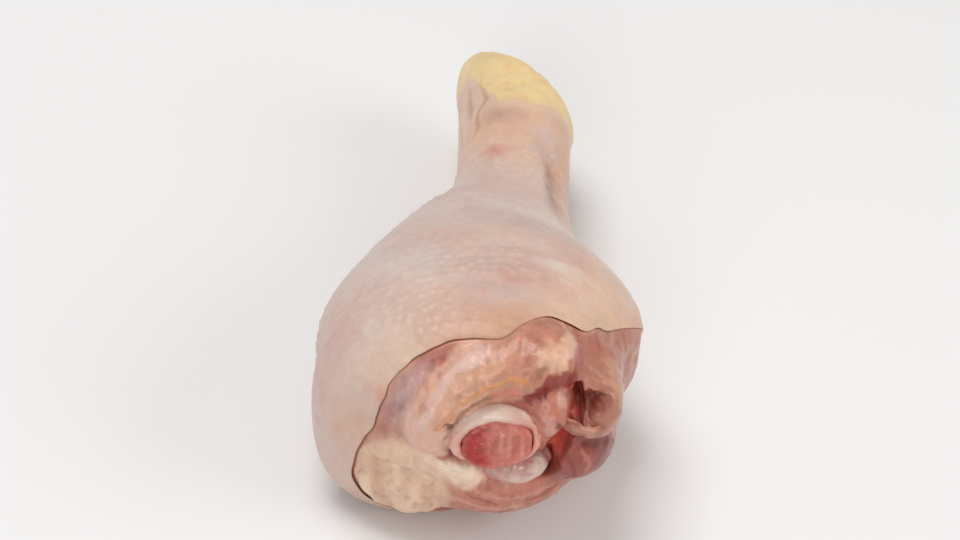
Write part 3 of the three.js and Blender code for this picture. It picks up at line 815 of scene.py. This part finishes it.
def bare_relief(p, w, edge, flank):
    """Height of the bare meat over the leg's outer face, and how deep its pits go in from the knee."""
    on_face = 1 - flank
    relief = face_relief(p) + 0.24 * cloud(p, 4, 81) + 0.12 * noise(p, 1.3, 82)
    relief = relief + 0.09 * face_fibres(w) + 0.03 * fine_grain(p)
    collar = oval_reach(p, COLLAR)
    rise = -0.35 + 0.5 * noise(p, 2.6, 83) - 2.5 * np.maximum(collar - 1.25, 0)
    rise = rise - 3 * bell(oval_reach(p, CONDYLE_DIP), 1)
    relief = smooth_max(relief, rise, 0.6)
    relief = lerp(relief, smooth_max(relief, -0.25, 0.8), bell(edge, 3.2))
    relief = relief + FLANK_SWELL_HEIGHT * bell(oval_reach(p, FLANK_SWELL), 1) * smoothstep(edge, 1, 5)
    pits = face_pits(w)
    for line, half, height, _, _ in STROKES:
        stroke = height * bell(line_distance(w, line) / half, 1.0) * on_face
        relief = relief + np.maximum(stroke, 0)
        pits = pits - np.minimum(stroke, 0)
    relief = relief + 0.16 * flank * flank_fibres(w)
    return relief - 0.35 * bell(collar - 1, 0.07) * on_face, pits


def make_meat():
    angle = angles(MEAT_COLUMNS)[None, :]
    under = profile_at(skin_edge_y(angle) + 4.0)
    shown = (np.arange(1, MEAT_FACE_ROWS + 1) / MEAT_FACE_ROWS)[:, None] ** 0.95
    hidden = (np.arange(1, MEAT_HIDDEN_ROWS + 1) / (MEAT_HIDDEN_ROWS + 1))[:, None]
    q = np.concatenate([under * shown, lerp(under, 1.0, hidden)])
    a = np.broadcast_to(angle, q.shape)
    point, normal = leg_frame(q, a)
    w = wavy(point)
    edge = beyond_edge(q, a)
    flank = smoothstep(point[..., 1], *FLANK_START)
    touching = 0.6 * clamp(0.5 + 0.9 * noise(point, 7, 53)) * smoothstep(point[..., 2], 14, 28)
    bare = smoothstep(edge + touching, -0.2, 0.9)
    covered = -lerp(SKIN_THICKNESS + SKIN_GAP, LIP_THICKNESS + 0.15, bell(edge, 3))
    relief, pits = bare_relief(point, w, edge, flank)
    opening = float(profile_at(np.array(OPENING_Y)))
    in_opening = smoothstep(q, opening - 0.02, opening + 0.02)
    recess = 1.3 * smoothstep(q, opening - 0.04, 1) + in_opening * bumps(point, [(0.5, 2.4, 85), (0.25, 1.0, 86)])
    place = point + normal * (lerp(covered, relief, bare) - recess)[..., None]
    place[..., 1] += pits * bare
    by_pad = smoothstep(place[..., 1] - pad_front(place) + 0.5 * noise(point, 2.0, 89), -1.9, -0.3)
    by_edge = bell(edge - 0.2, 0.9) * (0.7 + 0.6 * noise(point, 2.2, 84))
    tint = painted(meat_tint(point, w, flank), [
        (srgb(222, 186, 160), 0.85 * by_pad * bare),
        (srgb(204, 156, 132), 0.6 * by_edge),
        (srgb(228, 196, 174), 0.75 * in_opening * smoothstep(noise(point * [1, 0.4, 1], 1.5, 87), -0.1, 0.6)),
        (srgb(150, 52, 44), 0.6 * in_opening * smoothstep(noise(point, 2.2, 88), 0.2, 0.7)),
    ])
    ends = np.array([[POLE[0], KNEE_Y + 2.5, POLE[1]], [0, HOCK_Y - 4.5, 14.2]])
    points = clip_to(np.concatenate([place.reshape(-1, 3), ends]), "meat")
    tint = np.concatenate([tint.reshape(-1, 3), np.tile(srgb(190, 130, 112), (2, 1))])
    material = flesh("meat", grain=0.35, depth=0.09, mottle=0.12, rough=(0.24, 0.42), subsurface=0.14, coat=0.3,
                     fibre=((0, 0, 25), (1.0, 1.0, 0.45)))
    faces = closed_faces(MEAT_FACE_ROWS + MEAT_HIDDEN_ROWS, MEAT_COLUMNS)
    settle(make_object("meat_fine", points, faces, material, tint), "meat")


# ---- the bone and its marrow ----
HEAD = dict(x=4.6, z=27.6, w=8.5, h=7.2, roll=math.radians(20))
HEAD_SPAN = (-56, -38)
HOCK_END = dict(x=0.0, z=13.8, w=7.7, h=5.8)
HOCK_SPAN = (44, 58)
SHAFT_RADIUS = 4.0
SHAFT_SPAN = (-60, 60)
HOCK_NOTCH = 0.24
MARROW = dict(w=6.2, h=4.7, shaft=2.0)
MOUTH = dict(x=HEAD["x"], z=HEAD["z"], w=MARROW["w"], h=MARROW["h"], tilt=HEAD["roll"])
MOUTH_SPAN = (-57, -42)
MARROW_END_Y = 30
FACE_LEAN = math.tan(math.radians(8))
BONE_FACE_Y = KNEE_Y - 1.2
BONE_END_Y = HOCK_Y
BONE_RIM = 1.6
MARROW_RIM = 0.4
ROD_CAP = 0.22


def rod_point(around, down, end, rim, half):
    """A point of the bone or the marrow, by its shares round and down a rod with rounded ends."""
    angle = around * FULL_TURN
    cap = np.minimum(clamp(down / ROD_CAP), clamp((1 - down) / ROD_CAP))
    along = clamp((down - ROD_CAP) / (1 - 2 * ROD_CAP))
    rounded = 1 - np.sqrt(1 - cap ** 6)
    level = lerp(BONE_FACE_Y, end, lerp(along, smoothstep(along, 0, 1), 0.5))
    head = 1 - smoothstep(level, *HEAD_SPAN)
    hock = smoothstep(level, *HOCK_SPAN)
    share = smoothstep(level, *SHAFT_SPAN)
    width, height = half(level, head, hock, angle)
    u, v = width * cap * np.cos(angle), height * cap * np.sin(angle)
    roll = HEAD["roll"] * head
    x = u * np.cos(roll) - v * np.sin(roll)
    z = u * np.sin(roll) + v * np.cos(roll)
    y = level + np.where(down < 0.5, rim, -rim) * rounded + FACE_LEAN * z * head
    return slanted(lerp(HEAD["x"], HOCK_END["x"], share) + x, y, lerp(HEAD["z"], HOCK_END["z"], share) + z)


def bone_half(level, head, hock, angle):
    at_head = head > hock
    waist = np.maximum(head, hock)
    notch = 1 - HOCK_NOTCH * hock * bell(np.cos(angle), 0.5)
    width = lerp(SHAFT_RADIUS, np.where(at_head, HEAD["w"], HOCK_END["w"]), waist)
    height = lerp(SHAFT_RADIUS, np.where(at_head, HEAD["h"], HOCK_END["h"]), waist) * notch
    return width, height


def marrow_half(level, head, hock, angle):
    mouth = 1 - smoothstep(level, *MOUTH_SPAN)
    return lerp(MARROW["shaft"], MARROW["w"], mouth), lerp(MARROW["shaft"], MARROW["h"], mouth)


def rod_points(rows, columns, end, rim, half):
    """The rod's rings of points, then the points at its two ends."""
    down = (np.arange(1, rows + 1) / (rows + 1))[:, None]
    around = np.linspace(0, 1, columns, endpoint=False)[None, :]
    rings = rod_point(around, down, end, rim, half).reshape(-1, 3)
    return np.concatenate([rings, rod_point(np.zeros(2), np.arange(2.0), end, rim, half)])


def mouth_reach(p):
    """How far a point is from the middle of the marrow's mouth, 1 at its rim."""
    return np.sqrt(lobe_reach(p, MOUTH))


def ring_at_knee(points):
    """The bone's points with its head worked into a ring of cartilage, thick and white over the marrow, thin
    and pink at its right and under it, and the ring's colours."""
    knee = 1 - smoothstep(points[:, 1], -60, -54)
    reach = mouth_reach(points) + 0.03 * noise(points, 2.0, 93)
    angle = np.arctan2(points[:, 2] - HEAD["z"], points[:, 0] - HEAD["x"])
    top = knee * towards(angle, 115, 1.05)
    right = knee * towards(angle, 5, 0.75)
    left = knee * towards(angle, 197, 0.65)
    low = knee * smoothstep(-np.sin(angle - math.radians(4)), 0.1, 0.8)
    ragged = 0.45 * cloud(points, 3.2, 91) + 0.2 * noise(points, 1.3, 94) * (1 - top)
    thinner = knee * (0.6 * right + 0.9 * low + 0.3 * (1 - top)) * smoothstep(reach, 1.15, 1.35)
    inward = np.stack([-np.cos(angle), 0 * angle, -np.sin(angle)], -1)
    points = points + inward * thinner[:, None] + (0.2 * cloud(points, 4, 96) + ragged * knee)[:, None]
    pit = knee * smoothstep(reach, 1.0, 0.93)
    stripes = right * noise(points * [1, 1, 0.2], 0.9, 97)
    points[:, 1] += 2.0 * pit + 1.5 * low + 0.7 * right + 0.25 * stripes - 0.3 * top * bell(reach - 1.2, 0.12)
    white = np.maximum(top, 1 - knee) * (0.9 + 0.3 * noise(points, 2.5, 92))
    return points, knee, [
        (srgb(226, 210, 194), 0.95 * white),
        (srgb(222, 158, 140), 0.8 * right * (0.8 + 0.5 * stripes)),
        (srgb(196, 104, 88), 0.8 * low),
        (srgb(224, 172, 160), 0.6 * left),
        (srgb(190, 88, 74), 0.8 * knee * bell(reach - 0.98, 0.09) * (1 - 0.3 * top)),  # the mouth's wet rim
    ]


def condyles_at_hock(points, knee):
    """The bone's points with its hock end domed into two condyles, and its colours from there to the knee."""
    level = points[:, 1] + HOCK_SLANT * points[:, 0]
    end = smoothstep(level, 56.5, 59.3)
    u = (points[:, 0] - HOCK_END["x"]) / HOCK_END["w"]
    v = (points[:, 2] - HOCK_END["z"]) / HOCK_END["h"]
    between = u + 0.06 * v
    fall = 2.6 * clamp(np.hypot(u, v), 0, 1.2) ** 3 + 1.3 * bell(between, 0.22)
    points[:, 1] += end * (1.0 - fall - 0.25 * cloud(points, 3, 98))
    shaft = (1 - knee) * (1 - end)
    return points, [
        (srgb(222, 212, 206), 0.7 * end),
        (srgb(206, 150, 138), 0.7 * end * smoothstep(cloud(points, 4, 99), 0.0, 0.5)),
        (srgb(182, 96, 82), 0.75 * shaft * smoothstep(noise(points, 2.2, 100), -0.3, 0.5)),
        (srgb(190, 150, 130), 0.6 * end * bell(between, 0.12)),
    ]


def make_bone():
    rows, columns = 230, 190
    points = rod_points(rows, columns, BONE_END_Y, BONE_RIM, bone_half)
    points, knee, ring_layers = ring_at_knee(points)
    points, hock_layers = condyles_at_hock(points, knee)
    tint = painted(srgb(212, 160, 146), ring_layers + hock_layers)
    material = flesh("bone", grain=0.6, depth=0.05, mottle=0.05, rough=(0.18, 0.34), subsurface=0.35, coat=0.6)
    faces = closed_faces(rows, columns)
    settle(make_object("bone_fine", clip_to(points, "bone"), faces, material, tint), "bone")
    make_lump("bone_condyle", LOWER_CONDYLE, material, srgb(206, 180, 168), srgb(178, 112, 106), 0.45,
              "bone")


def make_marrow():
    rows, columns = 150, 150
    points = rod_points(rows, columns, MARROW_END_Y, MARROW_RIM, marrow_half)
    grain = noise(points, 0.8, 95)
    face = 1 - smoothstep(points[:, 1], -60, -56)
    middle = clamp(1 - mouth_reach(points) ** 2) * face
    pores = np.abs(noise(points, 1.1, 94)) * face
    points[:, 1] += 0.35 - 0.35 * pores + 0.1 * grain - 0.3 * noise(points, 2.6, 96) - 0.3 * middle
    stripes = 0.5 + 0.5 * noise(points * [1, 1, 0.16], 0.75, 97)
    pale = smoothstep(points[:, 0] + 1.5 * noise(points, 3, 98), 0.8, 6)
    tint = painted(srgb(172, 30, 26), [
        (srgb(190, 84, 70), 0.5 * clamp(noise(points, 2, 99))),
        (srgb(218, 146, 126), pale * (0.3 + 0.7 * stripes)),
        (srgb(206, 116, 98), 0.6 * smoothstep(mouth_reach(points), 0.78, 0.98) * face),
        (srgb(110, 18, 16), 0.6 * clamp(-grain) * (1 - 0.6 * pale)),
    ])
    material = flesh("marrow", grain=0.4, depth=0.16, mottle=0.2, rough=(0.2, 0.4), subsurface=0.08, coat=0.35)
    faces = closed_faces(rows, columns)
    settle(make_object("marrow_fine", clip_to(points, "marrow"), faces, material, tint), "marrow")


# ---- rounded lumps and the tendon ----
LOWER_CONDYLE = dict(at=(7.9, -56, 20.2), half=(6.4, 4.8, 3.8), tilt=math.radians(14))
FAT_PAD = dict(at=(-9.5, -53, 14.2), half=(10.2, 6.0, 10.6), tilt=math.radians(-4))
TENDON_LINE = [(13.8, -56, 31), (16.8, -57.6, 30.4), (20.2, -57.4, 29.2), (24, -52.2, 27.2)]
TENDON_MIDDLE_X = 19.4
TENDON_HALF = (1.5, 0.85)


def make_lump(name, lump, material, colour, dark, relief, node):
    """A tilted ellipsoid with lumps of that height, its hollows in the dark colour."""
    rows, columns = 130, 160
    down = (np.arange(1, rows + 1) / (rows + 1))[:, None] * math.pi
    around = angles(columns)[None, :]
    unit = np.stack(np.broadcast_arrays(
        np.sin(down) * np.cos(around), -np.cos(down), np.sin(down) * np.sin(around)), -1).reshape(-1, 3)
    unit = np.concatenate([unit, [[0, -1, 0], [0, 1, 0]]])
    local = unit * lump["half"]
    c, s = math.cos(lump["tilt"]), math.sin(lump["tilt"])
    x, z = local[:, 0] * c - local[:, 2] * s, local[:, 0] * s + local[:, 2] * c
    points = np.stack([x, local[:, 1], z], -1) + lump["at"]
    swell = 1.1 * np.abs(noise(points * [1, 1, 0.6], 5.0, 101)) + 0.5 * np.abs(noise(points, 2.0, 102)) - 0.3
    swell = swell + 0.2 * noise(points, 0.9, 103)
    points = points + unit * (relief * (swell - 0.5))[:, None]
    streaks = noise(points * [1, 0.6, 0.3], 1.7, 104)
    tint = painted(colour, [
        (dark, 0.45 - 0.9 * swell - 0.5 * streaks),
        (srgb(236, 208, 180), 0.55 * clamp(streaks)),
        (dark * 0.85, 0.5 * smoothstep(noise(points, 1.4, 105), 0.3, 0.8)),
    ])
    settle(make_object(name, clip_to(points, node), closed_faces(rows, columns), material, tint), node)


def make_fat_pad():
    material = flesh("fat", grain=0.6, depth=0.1, mottle=0.06, rough=(0.28, 0.46), subsurface=0.35, coat=0.35,
                     cells=(1.6, 0.12))
    make_lump("fat_pad_fine", FAT_PAD, material, srgb(226, 195, 168), srgb(204, 158, 132), 0.9, "fat_pad")


def make_tendon():
    rows, columns = 90, 40
    t = np.linspace(0.004, 0.996, rows)
    powers = np.arange(4)
    fit = np.linalg.solve((powers[:, None] / 3.0) ** powers, np.array(TENDON_LINE))
    centre = (t[:, None] ** powers) @ fit
    along = np.gradient(centre, axis=0)
    along /= np.linalg.norm(along, axis=1, keepdims=True)
    up = np.array([0, 0, 1.0]) - along * along[:, 2:3]
    up /= np.linalg.norm(up, axis=1, keepdims=True)
    out = np.cross(up, along)
    angle = angles(columns)
    taper = (1 - np.abs(2 * t - 1) ** 6) ** 0.5 * (0.85 + 0.25 * (2 * t - 1) ** 2)
    strand = (0.88 + 0.07 * np.sin(5 * angle + 3 * t[:, None])) * (taper * (1 + 0.12 * noise(
        centre * [1, 0, 0], 1.6, 112)))[:, None]
    half_up, half_out = TENDON_HALF
    place = (centre[:, None] + up[:, None] * (half_up * strand * np.sin(angle))[..., None]
             + out[:, None] * (half_out * strand * np.cos(angle))[..., None])
    points = np.concatenate([place.reshape(-1, 3), centre[:1], centre[-1:]])
    points = points + np.outer(0.12 * noise(points, 0.9, 113), [0.4, 1, 1])
    tint = painted(srgb(156, 98, 78), [
        (srgb(192, 138, 114), 0.35 + 0.9 * noise(points * [0.3, 0.3, 1], 0.6, 111)),
        (srgb(176, 104, 86), 0.8 * smoothstep(np.abs(points[:, 0] - TENDON_MIDDLE_X), 2.6, 4.2)),
    ])
    material = flesh("tendon", grain=0.3, depth=0.05, mottle=0.08, rough=(0.2, 0.34), subsurface=0.3, coat=0.5,
                     fibre=((0, 0, 0), (0.25, 0.25, 1.0)))
    faces = closed_faces(rows, columns)
    settle(make_object("tendon_fine", clip_to(points, "tendon"), faces, material, tint), "tendon")


def settle(piece, node):
    """The piece takes the place of that CAD node, and stays with the leg."""
    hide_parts(node)
    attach(piece, "root")


# ---- floor, lights and camera ----
VIEW_FROM = Vector((9.2, -490.7, 410.9)) * MM
VIEW_TARGET = Vector((-1.5, -9.0, 22.0)) * MM
VIEW_ROLL = math.radians(5.36)
VIEW_LENS = 128
FLOOR_HALF = 3.0
FLOOR_COLOUR = (0.84, 0.84, 0.85, 1)
FLOOR_ROUGHNESS = 0.6
WORLD_COLOUR = (1.0, 0.99, 0.97, 1)
WORLD_STRENGTH = 0.36
# name, place and size in metres, power in watts, colour
LIGHTS = [
    ("key", (-0.22, 0.05, 0.85), 0.45, 4.0, (1.0, 0.99, 0.975)),
    ("right", (0.65, -0.15, 0.40), 0.5, 2.0, (1.0, 0.97, 0.94)),
    ("front", (-0.15, -0.80, 0.45), 0.35, 2.0, (1.0, 0.98, 0.96)),
]


def make_camera():
    data = bpy.data.cameras.new("camera")
    data.lens = VIEW_LENS
    camera = bpy.data.objects.new("camera", data)
    bpy.context.scene.collection.objects.link(camera)
    camera.location = VIEW_FROM
    camera.rotation_mode = "QUATERNION"
    straight = (VIEW_TARGET - VIEW_FROM).to_track_quat("-Z", "Y")
    camera.rotation_quaternion = straight @ Quaternion((0, 0, 1), VIEW_ROLL)
    bpy.context.scene.camera = camera


def area_light(name, place, size, power, colour):
    data = bpy.data.lights.new(name, "AREA")
    data.size = size
    data.energy = power
    data.color = colour
    light = bpy.data.objects.new(name, data)
    bpy.context.scene.collection.objects.link(light)
    light.location = place
    light.rotation_mode = "QUATERNION"
    light.rotation_quaternion = (-Vector(place)).to_track_quat("-Z", "Y")


def make_floor():
    mesh = bpy.data.meshes.new("floor")
    corners = [(-1, -1), (1, -1), (1, 1), (-1, 1)]
    mesh.from_pydata([(x * FLOOR_HALF, y * FLOOR_HALF, 0) for x, y in corners], [], [(0, 1, 2, 3)])
    material = bpy.data.materials.new("floor")
    material.use_nodes = True
    shader = material.node_tree.nodes["Principled BSDF"]
    shader.inputs["Base Color"].default_value = FLOOR_COLOUR
    shader.inputs["Roughness"].default_value = FLOOR_ROUGHNESS
    mesh.materials.append(material)
    floor = bpy.data.objects.new("floor", mesh)
    bpy.context.scene.collection.objects.link(floor)


def make_light():
    world = bpy.data.worlds.new("studio")
    world.use_nodes = True
    background = world.node_tree.nodes["Background"]
    background.inputs["Color"].default_value = WORLD_COLOUR
    background.inputs["Strength"].default_value = WORLD_STRENGTH
    bpy.context.scene.world = world
    bpy.context.scene.view_settings.view_transform = "Standard"
    for light in LIGHTS:
        area_light(*light)


make_camera()
make_floor()
make_light()
make_skin()
make_meat()
make_bone()
make_marrow()
make_fat_pad()
make_tendon()
